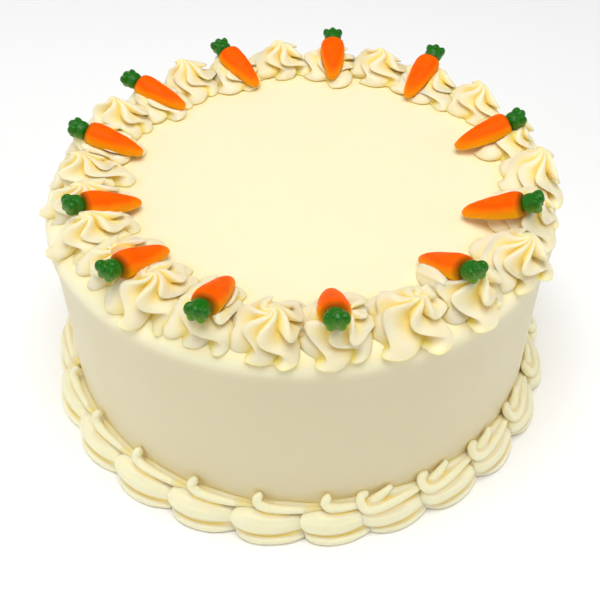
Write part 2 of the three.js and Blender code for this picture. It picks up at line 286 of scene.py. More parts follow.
places = points_of(cake)
distance = np.hypot(places[:, 0], places[:, 1])
height = places[:, 2]
out = places.copy()
out[:, 2] = 0
out /= np.maximum(distance, MM)[:, None]
on_wall = smoothstep(WALL_START, CAKE_RADIUS * 0.99, distance)
on_top = smoothstep(CAKE_HEIGHT - TOP_EDGE_RADIUS, CAKE_HEIGHT, height)
waves = soft_noise(places * (1, 1, 0.5), WALL_WAVE_SCALE)
ripples = soft_noise(places * (1, 1, 0.25), WALL_RIPPLE_SCALE, 5)
places += out * (on_wall * WALL_WAVE * (waves + WALL_RIPPLE * ripples))[:, None]
below_lip = smoothstep(0, LIP_LENGTH, CAKE_HEIGHT - LIP_DROP - height)
on_lip = smoothstep(WALL_START, CAKE_RADIUS, distance) * LIP * (1 - below_lip)
places += out * on_lip[:, None]
top_waves = soft_noise(places, TOP_WAVE_SCALE, 9)
top_ripples = soft_noise(places, TOP_RIPPLE_SCALE, 2)
places[:, 2] += on_top * TOP_WAVE * (top_waves + TOP_RIPPLE * top_ripples)
reshape(cake, places)
# painted light: the icing near the top is painted paler, as the light from above falls there
paint(cake, "upper", smoothstep(CAKE_HEIGHT - PAINTED_LIGHT_START, CAKE_HEIGHT - PAINTED_LIGHT_FULL, height))
# painted highlight: a paler strip on the rounded top edge, just under the swirls
edge_highlight = smoothstep(CAKE_HEIGHT - PAINTED_LIGHT_START, CAKE_HEIGHT - BAND_FULL, height)
past_band = smoothstep(CAKE_HEIGHT - BAND_FADES, CAKE_HEIGHT - BAND_END, height)
paint(cake, "edge_highlight", edge_highlight * (1 - past_band))
alone(cake)
bpy.ops.object.shade_smooth()
finished(cake, "smooth_icing", "cake_body")
print("wall waves:", round(float(np.ptp(waves)) * WALL_WAVE / MM, 2), "mm deep")

# %% [markdown]
# ## A swirl
#
# A swirl is icing squeezed through a star-shaped tip. The bag stays over one spot while the
# icing spreads into a fat foot, turns a little, and is pulled up to a soft peak, so its ridges
# run from the peak to the foot in an S. It could be a curve with a star profile, but a stack
# of rings gives more control: a circle is extruded ring by ring, and each new ring is scaled
# and turned. The blank is modelled once for each number of ridges and copied.

# %% The swirl's blank
RIDGE_COLUMNS = 12
RIDGE_CHOICES = (6, 6, 7)  # of the tip; one squeeze in three shows a seventh ridge
# share of the height, share of the foot's radius, and how far the ridges have turned
SWIRL_RINGS = (
    (0.00, 1.10, -30),
    (0.025, 1.06, -27),
    (0.07, 1.02, -23),
    (0.13, 0.98, -17),
    (0.20, 0.93, -14),
    (0.28, 0.87, -14),
    (0.35, 0.79, -22),
    (0.40, 0.74, -38),
    (0.46, 0.73, -53),
    (0.53, 0.71, -62),
    (0.61, 0.63, -64),
    (0.70, 0.50, -57),
    (0.79, 0.36, -44),
    (0.87, 0.24, -28),
    (0.94, 0.15, -14),
    (0.99, 0.08, -4),
    (1.02, 0.03, 0),
)


def swirl_blank(ridges):
    """A swirl of radius and height 1 without its grooves."""
    bpy.ops.object.select_all(action="DESELECT")
    bpy.ops.mesh.primitive_circle_add(vertices=ridges * RIDGE_COLUMNS, radius=1, fill_type="NGON")
    blank = bpy.context.object
    blank.name = f"swirl_blank_{ridges}"
    for layer in ("phase", "level"):
        blank.data.attributes.new(layer, "FLOAT", "POINT")
    bpy.ops.object.mode_set(mode="EDIT")
    bpy.ops.mesh.select_all(action="SELECT")
    last_up, last_wide, last_turn = 0, 1, 0
    for up, wide, turn in SWIRL_RINGS:
        if up > 0:
            bpy.ops.mesh.extrude_region_move(TRANSFORM_OT_translate={"value": (0, 0, up - last_up)})
        share = wide / last_wide
        bpy.ops.transform.resize(value=(share, share, 1), center_override=(0, 0, 0))
        bpy.ops.transform.rotate(
            value=-radians(turn - last_turn), orient_axis="Z", center_override=(0, 0, 0)
        )
        shape = bmesh.from_edit_mesh(blank.data)
        phase = shape.verts.layers.float["phase"]
        level = shape.verts.layers.float["level"]
        for vertex in shape.verts:
            if vertex.select:
                angle = atan2(vertex.co.y, vertex.co.x) - radians(turn)
                vertex[phase] = (angle / tau * ridges) % ridges
                vertex[level] = up
        last_up, last_wide, last_turn = up, wide, turn
    bpy.ops.mesh.poke()
    bpy.ops.mesh.select_all(action="SELECT")
    bpy.ops.mesh.normals_make_consistent(inside=False)
    bpy.ops.object.mode_set(mode="OBJECT")
    return blank


blanks = {ridges: swirl_blank(ridges) for ridges in sorted(set(RIDGE_CHOICES))}
for ridges, blank in blanks.items():
    print(ridges, "ridges:", len(blank.data.vertices), "points")

# %% [markdown]
# ## Twenty-four uneven swirls
#
# No two squeezes of a piping bag are alike. Each copy of the blank gets its own grooves, its
# own lean and its own fat and thin ridges from a seeded random draw, and it is fitted to the
# place and size of its solid in the measured model. Where it reaches over the cake's rounded
# edge it sags down that edge.

# %% Fit a swirl to its place
RING_LEVELS = [up for up, wide, turn in SWIRL_RINGS]
RING_TURNS = [radians(turn) for up, wide, turn in SWIRL_RINGS]
# for each height: how deep the grooves are, how round each ridge is on its steep side and on its
# hollow side, and how far the crests curl over in degrees
GROOVE_LEVELS = (0.0, 0.15, 0.30, 0.42, 0.55, 0.70, 0.85, 1.0)
GROOVE_DEPTHS = (0.36, 0.44, 0.50, 0.54, 0.58, 0.56, 0.38, 0.1)
STEEP_ROUNDNESS = (3.2, 3.0, 2.6, 2.2, 2.0, 1.9, 1.7, 1.5)
HOLLOW_ROUNDNESS = (2.2, 1.9, 1.4, 1.05, 0.9, 0.85, 1.0, 1.5)
CREST_CURLS = (-4, -6, -8, -14, -16, -14, -8, 0)
STEEP_SHARE = 0.34  # of the way from one crest to the next
CREST_BLUNT = 0.3
HOLLOW_SIDE_BLUNT = CREST_BLUNT * STEEP_SHARE / (1 - STEEP_SHARE) * 1.4
LOBE_SIZE_CHANGE = 0.17
UPPER_SIZE_CHANGE = 1.3 * LOBE_SIZE_CHANGE
LOBE_TURN_CHANGE = 11
GROOVE_CHANGE = 0.35
RUFFLE = 0.55 * MM
RUFFLE_SCALE = 130
SWIRL_OVERLAP = 1.3
SOFTENING = 6
SAG_STOP = 2.2 * MM
LEAN_CURVE = 1.5  # the lean grows faster than the height
# levels, as shares of the height, over which something starts or stops
UPPER_LOBES = (0.35, 0.5)
LOBES_TURN = (0, 0.3)
SAG_ENDS = (0.2, 0.8)
RUFFLE_STARTS = (0, 0.15)
FOOT_ENDS = (0, 0.12)
# painted shade at the foot, where the swirl meets the cake
FOOT_PAINTED_SHADE = 0.8  # the foot is as yellow as a groove of this depth
ON_AXIS = 1e-6


def spot_of(name):
    """Where a measured swirl stands: its azimuth, its middle out and aside, its half sizes."""
    places = points_of(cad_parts[name])
    middle = places.mean(0)
    azimuth = atan2(middle[1], middle[0])
    along = places[:, 0] * cos(azimuth) + places[:, 1] * sin(azimuth)
    across = places[:, 1] * cos(azimuth) - places[:, 0] * sin(azimuth)
    return {
        "azimuth": azimuth,
        "distance": (along.max() + along.min()) / 2,
        "aside": (across.max() + across.min()) / 2,
        "half_depth": np.ptp(along) / 2,
        "half_width": np.ptp(across) / 2,
    }


def read(piece, name):
    """The numbers that paint() or a blank kept for each vertex."""
    values = np.empty(len(piece.data.vertices), np.float32)
    piece.data.attributes[name].data.foreach_get("value", values)
    return values.astype(float)


def piped_swirl(name, ridges, height, lean, side_lean, inward, spread):
    """One swirl, in place, before the candy is pressed on it."""
    spot = spot_of(name)
    alone(blanks[ridges])
    bpy.ops.object.duplicate()
    swirl = bpy.context.object
    swirl.name = name.replace("swirl", "piped_swirl")
    places = points_of(swirl)
    phase = read(swirl, "phase")
    level = read(swirl, "level")
    on_axis = np.hypot(places[:, 0], places[:, 1]) < ON_AXIS

    # each point belongs to the crest behind it, or on the steep side to the one ahead
    part = phase % 1
    steep = part > 1 - STEEP_SHARE
    behind = np.floor(phase).astype(int)
    ridge = (behind + steep) % ridges
    off_crest = np.where(steep, (1 - part) / STEEP_SHARE, part / (1 - STEEP_SHARE))
    blunt = np.where(steep, CREST_BLUNT, HOLLOW_SIDE_BLUNT)
    off_crest = (np.sqrt(off_crest**2 + blunt**2) - blunt) / (np.sqrt(1 + blunt**2) - blunt)
    size = 1 + LOBE_SIZE_CHANGE * draw.uniform(-1, 1, ridges)
    turn = radians(LOBE_TURN_CHANGE) * draw.uniform(-1, 1, ridges)
    upper_size = 1 + UPPER_SIZE_CHANGE * draw.uniform(-1, 1, ridges)
    deep = 1 + GROOVE_CHANGE * draw.uniform(-1, 0.6, ridges)
    swing = draw.uniform(0.9, 1.3)
    start = draw.uniform(0, tau)

    # from the crests down into the grooves
    depth = np.interp(level, GROOVE_LEVELS, GROOVE_DEPTHS) * deep[behind % ridges]
    steep_round = np.interp(level, GROOVE_LEVELS, STEEP_ROUNDNESS)
    hollow_round = np.interp(level, GROOVE_LEVELS, HOLLOW_ROUNDNESS)
    curl = np.radians(np.interp(level, GROOVE_LEVELS, CREST_CURLS))
    crest = 1 - off_crest ** np.where(steep, steep_round, hollow_round)
    upper = smoothstep(*UPPER_LOBES, level)
    lobe = size[ridge] * (1 - upper) + upper_size[ridge] * upper
    radius = np.hypot(places[:, 0], places[:, 1])
    radius = radius * (1 - depth * (1 - crest)) * (1 + (lobe - 1) * crest)
    turned = np.interp(level, RING_LEVELS, RING_TURNS)
    angle = np.arctan2(places[:, 1], places[:, 0]) + start
    angle += turned * (swing - 1) + (turn[ridge] * smoothstep(*LOBES_TURN, level) + curl) * crest

    # stretched to its place and leaning, and sagging over the cake's edge
    outward = radius * np.cos(angle) * spot["half_depth"] * spread + lean * level**LEAN_CURVE
    sideways = radius * np.sin(angle) * spot["half_width"] * SWIRL_OVERLAP + side_lean * level**LEAN_CURVE
    outward += spot["distance"] - inward
    sideways += spot["aside"]
    x = outward * cos(spot["azimuth"]) - sideways * sin(spot["azimuth"])
    y = outward * sin(spot["azimuth"]) + sideways * cos(spot["azimuth"])
    reach = np.minimum(np.hypot(x, y), CAKE_RADIUS - SAG_STOP)
    drop = edge_drop(reach) * (1 - smoothstep(*SAG_ENDS, level))
    z = CAKE_HEIGHT + height * level - drop
    places = np.stack([x, y, z], 1)
    ruffles = [soft_noise(places, RUFFLE_SCALE, shift) for shift in (3, 41, 77)]
    places += RUFFLE * smoothstep(*RUFFLE_STARTS, level)[:, None] * np.stack(ruffles, 1)
    reshape(swirl, places)
    # painted shade: yellow deep in the grooves between the ridges and at the foot, where the swirl meets
    # the cake
    foot = 1 - smoothstep(*FOOT_ENDS, level)
    shade_and_highlight = np.where(on_axis, 0, np.maximum(1 - crest, FOOT_PAINTED_SHADE * foot))
    paint(swirl, "shade_and_highlight", shade_and_highlight)
    modified(swirl, "SUBSURF", levels=1, render_levels=1)
    modified(swirl, "SMOOTH", factor=0.5, iterations=SOFTENING)
    bpy.ops.object.shade_smooth()
    return swirl


# %% [markdown]
# ## Where the candies lie
#
# Each candy's frame is worked out from its two measured solids: its line runs from the middle
# of the carrot to the middle of the leaf.

# %% The candies' frames
CARROT_LENGTH = 25 * MM
CARROT_WIDTH = 12 * MM
CARROT_THICKNESS = 10 * MM


def candy_frame(carrot, leaf):
    """The candy's frame: x from tip to leaf, z out of its top, starting at the leaf's end."""
    body = points_of(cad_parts[carrot])
    tuft = points_of(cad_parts[leaf])
    middle = Vector((body.max(0) + body.min(0)) / 2)
    along = (Vector((tuft.max(0) + tuft.min(0)) / 2) - middle).normalized()
    across = Vector((0, 0, 1)).cross(along).normalized()
    up = along.cross(across)
    turn = Matrix((along, across, up)).transposed()
    inside = (np.array(turn.transposed()) @ body.T).T
    shoulder = inside[:, 0].max()
    centre = (inside.max(0) + inside.min(0)) / 2
    start = turn @ Vector((shoulder, centre[1], centre[2]))
    return Matrix.Translation(start) @ turn.to_4x4()


candy_frames = [candy_frame(*pair) for pair in zip(carrot_names, leaf_names)]
for name, place in zip(carrot_names, candy_frames):
    print(name, "points", round(degrees(atan2(place[1][0], place[0][0]))), "degrees round")

# %% [markdown]
# ## Pressing the candies in
#
# A candy is pushed into the soft icing, which gives way under it and wells up beside it. A
# Boolean would cut a sharp hollow. Here every point of the icing that lies above the candy's
# bed is pushed down to it instead, as a thumb would do, so the skin stays whole and soft.

# %% Press the candies into the swirls
# along the candy, from its tip at -1 to the end of its leaf, and how wide it is there
PRESS_ALONG = (-1.0, -0.9, -0.6, -0.2, 0.0, 0.36)
PRESS_WIDE = (0.3, 0.55, 0.85, 1.0, 0.8, 0.75)
BED_DEPTH = 0.75  # of the candy's half thickness, under its axis
BED_LIP = 0.1  # above its axis, beside it
BED_SIDE = (0.75, 1.1)  # where the bed climbs to the lip, in the candy's half widths
BED_FREE = 1.9  # from here on the icing is left alone
BED_TIP = (-1.12, -1.0)
BED_LEAF = (0.36, 0.5)


def press(piece, candy):
    """Pushes the icing down where a candy lies on it, and leaves a lip beside the candy."""
    places = points_of(piece)
    turn = np.array(candy.inverted())
    local = places @ turn[:3, :3].T + turn[:3, 3]
    along = local[:, 0] / CARROT_LENGTH
    wide = np.interp(along, PRESS_ALONG, PRESS_WIDE, left=0, right=0)
    half_width = np.maximum(wide * CARROT_WIDTH / 2, MM)
    aside = np.abs(local[:, 1]) / half_width
    under = -BED_DEPTH * wide * CARROT_THICKNESS / 2
    lip = BED_LIP * wide * CARROT_THICKNESS / 2
    limit = under + (lip - under) * smoothstep(*BED_SIDE, aside)
    limit += smoothstep(BED_SIDE[1], BED_FREE, aside) * CARROT_THICKNESS
    ends = smoothstep(*BED_TIP, along) * (1 - smoothstep(*BED_LEAF, along))
    push = np.clip(local[:, 2] - limit, 0, None) * ends
    local[:, 2] -= push
    back = np.array(candy)
    reshape(piece, local @ back[:3, :3].T + back[:3, 3])


# %% Pipe all the swirls
SWIRL_HEIGHT = 14 * MM
HEIGHT_RANGE = (0.95, 1.08)
LEAN_RANGE = (0.5, 4.0)  # of the peak outward, in mm
SIDE_LEAN_RANGE = (1.0, 4.0)
# painted shade where a swirl touches its neighbours: how far it reaches and how strong it is
CONTACT_REACH = 1.8 * MM
CONTACT_PAINTED_SHADE = 0.65
PRESS_SOFTENING = 9
# a swirl that bears a candy is squashed: lower, wider, nearer the middle and leaning outward
SQUASHED_HEIGHT = 0.88
SQUASHED_SPREAD = 1.12
SQUASHED_INWARD = 2.5 * MM
SQUASHED_LEAN = 3.5 * MM

swirls = []
for number, name in enumerate(swirl_names):
    under_candy = number % 2 == 0
    ridges = int(draw.choice(RIDGE_CHOICES))
    height = SWIRL_HEIGHT * draw.uniform(*HEIGHT_RANGE)
    lean = draw.uniform(*LEAN_RANGE) * MM
    side_lean = draw.uniform(*SIDE_LEAN_RANGE) * MM
    inward = 0
    spread = 1
    if under_candy:
        height *= SQUASHED_HEIGHT
        lean = SQUASHED_LEAN
        inward = SQUASHED_INWARD
        spread = SQUASHED_SPREAD
    swirl = piped_swirl(name, ridges, height, lean, side_lean, inward, spread)
    for candy in candy_frames:
        press(swirl, candy)
    if under_candy:
        modified(swirl, "SMOOTH", factor=0.5, iterations=PRESS_SOFTENING)
    finished(swirl, "piped_icing", name)
    swirls.append(swirl)
for blank in blanks.values():
    bpy.data.objects.remove(blank)
# painted shade: each swirl is painted yellower where it touches its neighbours
for number, swirl in enumerate(swirls):
    beside = [swirls[number - 1], swirls[(number + 1) % len(swirls)]]
    contact_shade = CONTACT_PAINTED_SHADE * closeness(swirl, beside, CONTACT_REACH)
    paint(swirl, "shade_and_highlight", np.maximum(read(swirl, "shade_and_highlight"), contact_shade))
print("swirls:", len(swirls), "with", sum(len(s.data.polygons) for s in swirls), "faces")

# %% [markdown]
# ## Rolls of icing
#
# Piped icing keeps the ridges of the star-shaped tip that it was squeezed through. Each ridge
# is modelled as what it is, a roll of icing: a smooth curve with a round bevel that swells and
# thins along its way. The ridges of one squeeze are joined, and a voxel remesh melts them into
# one skin with soft creases. Extruding a star-shaped outline would be quicker, but then all
# the ridges would be alike.

# %% A roll and a squeeze
ROLL_STEPS = 6
ROLL_ROUNDNESS = 3


def roll(points):
    """One ridge as a closed mesh. Each point is its place and the roll's radius there."""
    bpy.ops.object.select_all(action="DESELECT")
    bpy.ops.curve.primitive_nurbs_path_add()
    ridge = bpy.context.object
    spline = ridge.data.splines[0]
    spline.points.add(len(points) - len(spline.points))
    for point, (place, thick) in zip(spline.points, points):
        point.co = (*place, 1)
        point.radius = thick / MM
    ridge.data.bevel_depth = MM
    ridge.data.bevel_resolution = ROLL_ROUNDNESS
    ridge.data.resolution_u = ROLL_STEPS
    ridge.data.use_fill_caps = True
    bpy.ops.object.convert(target="MESH")
    return bpy.context.object


def without_specks(piece):
    """Keeps a mesh's largest part. A remesh can leave specks in a gap between two rolls."""
    alone(piece)
    bpy.ops.object.mode_set(mode="EDIT")
    bpy.ops.mesh.select_all(action="SELECT")
    bpy.ops.mesh.separate(type="LOOSE")
    bpy.ops.object.mode_set(mode="OBJECT")
    parts = sorted(bpy.context.selected_objects, key=lambda part: len(part.data.vertices))
    for speck in parts[:-1]:
        bpy.data.objects.remove(speck)
    return parts[-1]


def melted(name, rolls, voxel, smoothing):
    """Joins rolls and melts them into one skin."""
    bpy.ops.object.select_all(action="DESELECT")
    for ridge in rolls:
        ridge.select_set(True)
    bpy.context.view_layer.objects.active = rolls[0]
    bpy.ops.object.join()
    piece = bpy.context.object
    modified(piece, "REMESH", mode="VOXEL", voxel_size=voxel)
    piece = without_specks(piece)
    piece.name = name
    modified(piece, "SMOOTH", factor=0.5, iterations=smoothing)
    bpy.ops.object.shade_smooth()
    return piece


# %% [markdown]
# ## The shell border
#
# A shell is piped with the same star tip held low against the wall: the icing wells up in a
# round head, is drawn along to a thin tail, and the next head covers that tail. Three of the
# tip's ridges show: a thin roll that starts with a hook high against the wall, the fat main
# ridge, and a frill at the foot. From the front right round the back, the thin roll curls over
# the head instead. The other rolls lie behind these and fill the shell up.

# %% The rolls of a shell
SHELL_COUNT = 24
FIRST_SHELL = 194
SHELL_STEP = 360 / SHELL_COUNT
SHELL_BUNCHING = 2.4
SHELL_SWAY = 0.9
# each point of a roll: along the wall, out from the wall, up, and the roll's radius, in mm
MAIN_RIDGE = (
    (-0.5, 4.4, 9.6, 2.8),
    (1.0, 4.8, 9.2, 4.6),
    (4.5, 5.4, 8.6, 5.5),
    (11.0, 5.6, 8.2, 5.7),
    (18.0, 5.0, 7.8, 5.2),
    (24.0, 4.2, 7.4, 4.2),
    (29.0, 3.2, 7.0, 3.0),
    (33.0, 2.4, 6.6, 1.8),
)
CORE = (
    (0.0, 1.6, 8.4, 2.6),
    (6.0, 2.2, 8.4, 4.6),
    (14.0, 2.4, 8.0, 5.0),
    (22.0, 2.2, 7.6, 4.4),
    (31.0, 1.6, 7.0, 3.2),
)
BASE = (
    (0.5, 4.0, 2.8, 2.6),
    (5.0, 6.0, 3.2, 3.2),
    (11.0, 6.8, 3.4, 3.4),
    (18.0, 6.4, 3.2, 3.2),
    (25.0, 5.2, 3.0, 3.0),
    (31.0, 3.6, 2.6, 2.2),
)
FOOT_FRILL = (
    (1.6, 6.4, 1.4, 1.2),
    (3.4, 9.0, 2.4, 1.7),
    (8.0, 10.3, 2.0, 1.9),
    (14.0, 10.4, 1.7, 1.9),
    (20.0, 9.6, 1.7, 1.8),
    (25.0, 8.2, 1.7, 1.5),
    (29.0, 6.4, 1.6, 1.1),
)
HOOKED_RIDGE = (
    (11.2, 2.0, 20.6, 1.5),
    (9.2, 2.3, 19.8, 1.9),
    (8.6, 3.4, 17.2, 2.1),
    (11.4, 4.2, 15.4, 2.0),
    (17.0, 4.0, 14.8, 1.8),
    (24.0, 3.5, 14.2, 1.5),
    (31.0, 2.9, 13.4, 1.3),
    (36.5, 2.4, 12.8, 1.0),
)
HOOK_BACKING = (
    (7.0, 0.4, 13.0, 1.2),
    (12.0, 0.6, 14.2, 1.4),
    (18.0, 0.8, 14.6, 1.4),
    (25.0, 0.8, 14.0, 1.3),
    (32.0, 0.6, 13.2, 1.2),
    (38.5, 0.3, 12.4, 1.1),
)
CURLED_MAIN = (
    (-1.2, 4.4, 8.6, 2.4),
    (0.4, 5.0, 8.2, 4.0),
    (4.5, 5.8, 7.8, 4.8),
    (11.0, 6.0, 7.4, 5.0),
    (18.0, 5.4, 7.0, 4.6),
    (24.0, 4.4, 6.6, 3.8),
    (29.0, 3.4, 6.2, 2.8),
    (33.0, 2.6, 6.0, 1.8),
)
CURLED_FRILL = (
    (3.0, 6.2, 1.6, 1.2),
    (5.0, 8.4, 2.0, 1.5),
    (9.0, 9.8, 1.8, 1.6),
    (14.0, 10.0, 1.6, 1.7),
    (20.0, 9.4, 1.6, 1.6),
    (25.0, 8.0, 1.6, 1.4),
    (29.0, 6.2, 1.5, 1.0),
)
CURLED_RIDGE = (
    (3.6, 1.0, 17.0, 1.5),
    (0.6, 1.2, 18.4, 1.9),
    (-1.2, 3.4, 16.4, 2.1),
    (0.4, 5.6, 13.6, 2.2),
    (4.4, 6.2, 13.0, 2.1),
    (10.0, 5.8, 13.2, 2.0),
    (17.0, 4.8, 13.4, 1.8),
    (24.0, 3.4, 13.0, 1.5),
    (30.0, 2.6, 12.0, 1.2),
)
CURL_LEAF = (
    (2.6, 3.2, 13.6, 1.6),
    (5.4, 3.2, 14.8, 2.1),
    (9.0, 2.8, 16.4, 2.1),
    (12.0, 2.0, 18.0, 1.6),
    (14.0, 1.4, 19.2, 1.0),
)
CURL_FILLING = (
    (1.4, 1.4, 12.4, 2.2),
    (5.0, 2.0, 13.4, 2.4),
    (10.0, 1.8, 13.6, 2.4),
    (16.0, 1.6, 13.6, 2.4),
    (24.0, 1.2, 12.6, 2.1),
    (32.0, 0.8, 11.2, 1.6),
)
HOOK_SHIFT = 3.6
CURLS_START = 278  # azimuths, counted on from the first shell
CURLS_END = 540
SHELL_MIDDLE = 6 * MM  # out from the wall, where the lengths along it are measured
SHELL_SIZE_RANGE = (0.95, 1.06)
ROLL_WOBBLE = 0.3
ROLL_RADIUS_CHANGE = 0.12
SHELL_VOXEL = 0.5 * MM
SHELL_SMOOTHING = 3
# for the painted shade in creases and where a shell meets the wall, the floor and the next shell, and the
# painted highlight on crests
CREASE_REACH = 40
CREASE_DEPTH = 0.6 * MM
CREASE_LIMIT = 0.75
SHELL_PAINTED_SHADE = 0.52
TOUCHING = 0.2 * MM
WALL_CONTACT = 2.2 * MM
GROUND_CONTACT = 2 * MM
TAIL_START = 24 * MM  # past the head, where the next shell comes near
TAIL_END = 29 * MM


def shell_head(number):
    """The azimuth of a shell's head, in degrees: the heads bunch and sway a little."""
    round_way = radians(SHELL_STEP * number)
    bunching = SHELL_BUNCHING * (1 - cos(round_way)) / 2
    return FIRST_SHELL + SHELL_STEP * number - bunching + SHELL_SWAY * sin(2 * round_way)


def shell(number):
    """One piped shell of the border."""
    head = radians(shell_head(number))
    swell = draw.uniform(*SHELL_SIZE_RANGE)
    curled = CURLS_START < shell_head(number) < CURLS_END
    ridges = (MAIN_RIDGE, CORE, BASE, FOOT_FRILL, HOOKED_RIDGE, HOOK_BACKING)
    shift = HOOK_SHIFT
    if curled:
        ridges = (CURLED_MAIN, CORE, BASE, CURLED_FRILL, CURLED_RIDGE, CURL_LEAF, CURL_FILLING)
        shift = 0
    rolls = []
    for ridge in ridges:
        points = []
        for along, out, up, thick in ridge:
            wobble = draw.uniform(-ROLL_WOBBLE, ROLL_WOBBLE, 3)
            distance = CAKE_RADIUS + (out + wobble[0]) * MM
            azimuth = head + (along + shift) * MM / (CAKE_RADIUS + SHELL_MIDDLE)
            place = (distance * cos(azimuth), distance * sin(azimuth), (up + wobble[1]) * MM)
            points.append((place, thick * MM * swell * (1 + ROLL_RADIUS_CHANGE * wobble[2])))
        rolls.append(roll(points))
    piece = melted(f"piped_shell_{number + 1:02d}", rolls, SHELL_VOXEL, SHELL_SMOOTHING)
    places = points_of(piece)
    places[:, 2] = np.maximum(places[:, 2], 0)
    reshape(piece, places)
    # painted shade in the creases and where the shell meets the wall, the floor and the next shell, and a
    # painted highlight on its crests
    crease = np.clip(hollows(piece, CREASE_REACH) / CREASE_DEPTH, -1, CREASE_LIMIT)
    past_wall = np.hypot(places[:, 0], places[:, 1]) - CAKE_RADIUS
    past_head = np.arctan2(places[:, 1], places[:, 0]) - head - shift * MM / CAKE_RADIUS
    past_head = (past_head + pi) % tau - pi
    past_head *= CAKE_RADIUS
    contact_shade = 1 - smoothstep(TOUCHING, WALL_CONTACT, past_wall)
    contact_shade = np.maximum(contact_shade, 1 - smoothstep(TOUCHING, GROUND_CONTACT, places[:, 2]))
    contact_shade = np.maximum(contact_shade, smoothstep(TAIL_START, TAIL_END, past_head))
    paint(piece, "shade_and_highlight", crease + contact_shade * np.maximum(SHELL_PAINTED_SHADE - crease, 0))
    return finished(piece, "piped_icing", "shell_border")


shells = [shell(number) for number in range(SHELL_COUNT)]
print("shells:", len(shells), "with", sum(len(s.data.polygons) for s in shells), "faces")

# %% [markdown]
# ## The candy carrots
#
# A candy carrot is pressed sugar: a blunt cone, a little flat, with a soft bumpy skin. A circle
# is extruded along its length ring by ring and smoothed, and the copies get their own bumps.

# %% The carrot's blank
CARROT_COLUMNS = 16
# share of the length from the tip, and share of the full width
CARROT_RINGS = (
    (0.0, 0.16),
    (0.02, 0.29),
    (0.08, 0.45),
    (0.2, 0.61),
    (0.4, 0.80),
    (0.6, 0.93),
    (0.8, 1.0),
    (0.92, 0.97),
    (0.98, 0.84),
    (1.0, 0.55),
)

bpy.ops.object.select_all(action="DESELECT")
bpy.ops.mesh.primitive_circle_add(
    vertices=CARROT_COLUMNS, radius=0.5, fill_type="NGON", rotation=(0, pi / 2, 0)
)
carrot_blank = bpy.context.object
carrot_blank.name = "carrot_blank"
bpy.ops.object.transform_apply()
bpy.ops.object.mode_set(mode="EDIT")
bpy.ops.mesh.select_all(action="SELECT")
last_along, last_wide = 0, 1
for along, wide in CARROT_RINGS:
    if along > 0:
        bpy.ops.mesh.extrude_region_move(TRANSFORM_OT_translate={"value": (along - last_along, 0, 0)})
    share = wide / last_wide
    bpy.ops.transform.resize(value=(1, share, share), center_override=(0, 0, 0))
    last_along, last_wide = along, wide
bpy.ops.mesh.select_all(action="SELECT")
bpy.ops.mesh.normals_make_consistent(inside=False)
bpy.ops.object.mode_set(mode="OBJECT")
bpy.ops.transform.resize(value=(CARROT_LENGTH, CARROT_WIDTH, CARROT_THICKNESS))
bpy.ops.object.transform_apply()
places = points_of(carrot_blank)
places[:, 0] -= CARROT_LENGTH
reshape(carrot_blank, places)
print("carrot blank:", [round(x / MM, 1) for x in carrot_blank.dimensions], "mm")

# %% [markdown]
# ## Folds of icing against the candies
#
# Some candies are pushed in so far that the icing folds up over their side. A fold is four
# rolls, one under the other, that run along the candy's side in the candy's own frame: the
# top one shows, and the fatter ones under it tie it to the swirl.

# %% Folds
# the candy's number, its side, from and to along it, how high up its side and how thick, in mm
FOLDS = (
    (11, -1, -25.0, -4.0, -0.4, 1.7),
    (8, 1, -20.0, -5.0, -1.4, 1.8),
    (7, 1, -20.0, -4.0, -2.6, 1.6),
)
# out from the candy's side and down, in mm, and how many times as thick as the top roll
FOLD_ROLLS = ((0.0, 0.0, 1.0), (1.2, 1.8, 1.3), (1.4, 4.0, 1.7), (-2.0, 4.6, 1.9))
FOLD_SHARES = (0.0, 0.12, 0.3, 0.5, 0.7, 0.88, 1.0)
FOLD_WOBBLE = 0.5
FOLD_DIP = 2.5  # how far the ends of a fold dip, in mm
FOLD_END = 0.3  # how thick its ends are, of its middle
# painted highlight: how pale the crests of a fold may be painted
FOLD_PAINTED_HIGHLIGHT = -0.15  # how pale its crests may get


def fold(number, candy, side, start, end, height, thick):
    """A fold of icing along one side of a candy."""
    place = candy_frames[candy - 1]
    rolls = []
    for out, drop, fatter in FOLD_ROLLS:
        points = []
        for share in FOLD_SHARES:
            wobble = draw.uniform(-FOLD_WOBBLE, FOLD_WOBBLE, 3)
            arch = sin(pi * share) ** 0.5
            along = start + (end - start) * share
            wide = np.interp(along * MM / CARROT_LENGTH + 1, *zip(*CARROT_RINGS)) * CARROT_WIDTH / 2
            aside = side * (wide + (out + wobble[0] * 0.5) * MM)
            up = (height - FOLD_DIP * (1 - arch) - drop + wobble[1]) * MM
            radius = thick * MM * fatter * (FOLD_END + (1 - FOLD_END) * arch)
            points.append((place @ Vector((along * MM, aside, up)), radius))
        rolls.append(roll(points))
    piece = melted(f"icing_fold_{number:02d}", rolls, SHELL_VOXEL, SHELL_SMOOTHING)
    # painted shade in the fold's creases and a painted highlight on its crests
    crease = hollows(piece, CREASE_REACH) / CREASE_DEPTH
    paint(piece, "shade_and_highlight", np.clip(crease, FOLD_PAINTED_HIGHLIGHT, CREASE_LIMIT))
    return finished(piece, "piped_icing", f"swirl_{2 * candy - 1:02d}")


folds = [fold(number + 1, *numbers) for number, numbers in enumerate(FOLDS)]
print("folds:", len(folds))

# %% [markdown]
# ## Twelve bumpy carrots
#
# The sugar sets unevenly, so each copy of the blank is subdivided and gets bumps of its own
# from smooth noise. How far a point is along the carrot and how high on it are kept for the
# finish: the top is redder, the sides get painted light that shines through the thin sugar,
# and the end next to the leaf is darker, partly its own colour at the join and partly painted
# shade under the leaf.

# %% Copy the carrots to their places
CARROT_BUMP = 0.28 * MM
BUMP_SCALE = 170
GRAIN_SCALE = 420
BUMP_LENGTHWISE = 0.2  # bumps push mostly sideways


